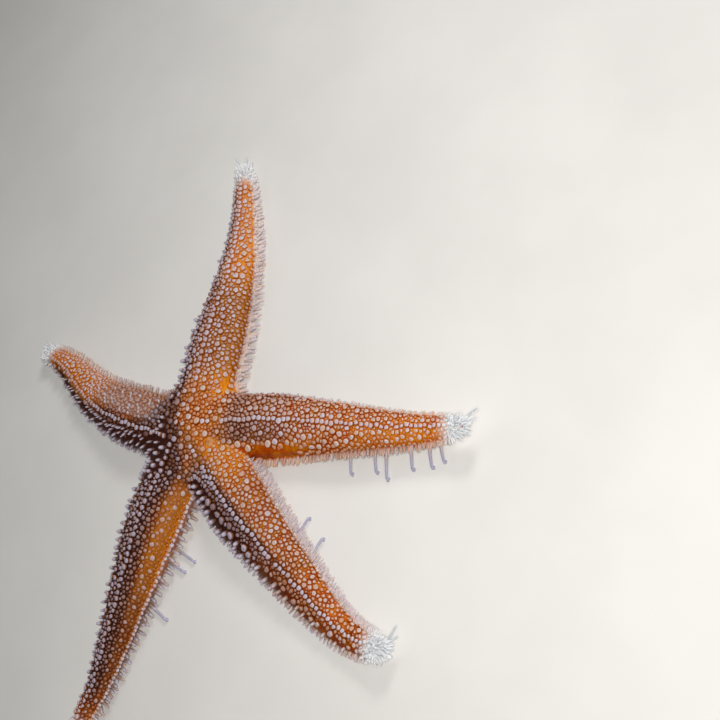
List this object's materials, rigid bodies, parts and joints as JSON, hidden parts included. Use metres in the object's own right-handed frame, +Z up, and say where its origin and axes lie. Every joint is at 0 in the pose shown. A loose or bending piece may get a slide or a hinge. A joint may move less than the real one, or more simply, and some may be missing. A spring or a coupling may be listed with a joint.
{
  "type": "starfish",
  "caption": "Common starfish with arms spread on the sea bed, orange skin set with pale lilac spines, a still life-size museum model resting on its sole.",
  "frame": {"origin": "centre of the bounding box on the floor, under the animal; the disc lies 10.7 mm to -X of it", "axes": "+Z up off the floor; arm_a points to +Y and arm_b to +X; arm_c lies between +X and -Y, arm_d between -X and -Y, arm_e between -X and +Y"},
  "size_m": [0.1766, 0.1924, 0.0132],
  "materials": {
    "skin": "moist leathery skin, orange with darker furrows, satin",
    "spines": "chalky lilac-white knobs and spines, slightly glossy when wet",
    "tube_feet": "soft, pale, slightly translucent",
    "madreporite": "chalky, finely grooved",
    "mouth_skin": "soft puckered skin",
    "eyespot": "smooth, moist, dark red"
  },
  "bodies": {
    "root": {"disc": "skin", "arm_a_base": "skin", "arm_a_middle": "skin", "arm_a_outer": "skin", "arm_b_base": "skin", "arm_b_middle": "skin", "arm_b_outer": "skin", "arm_c_base": "skin", "arm_c_middle": "skin", "arm_c_outer": "skin", "arm_d_base": "skin", "arm_d_middle": "skin", "arm_d_outer": "skin", "arm_e_base": "skin", "arm_e_middle": "skin", "arm_e_outer": "skin", "madreporite": "madreporite", "mouth": "mouth_skin", "eyespot_a": "eyespot", "eyespot_b": "eyespot", "eyespot_c": "eyespot", "eyespot_d": "eyespot", "eyespot_e": "eyespot"}
  },
  "joints": []
}
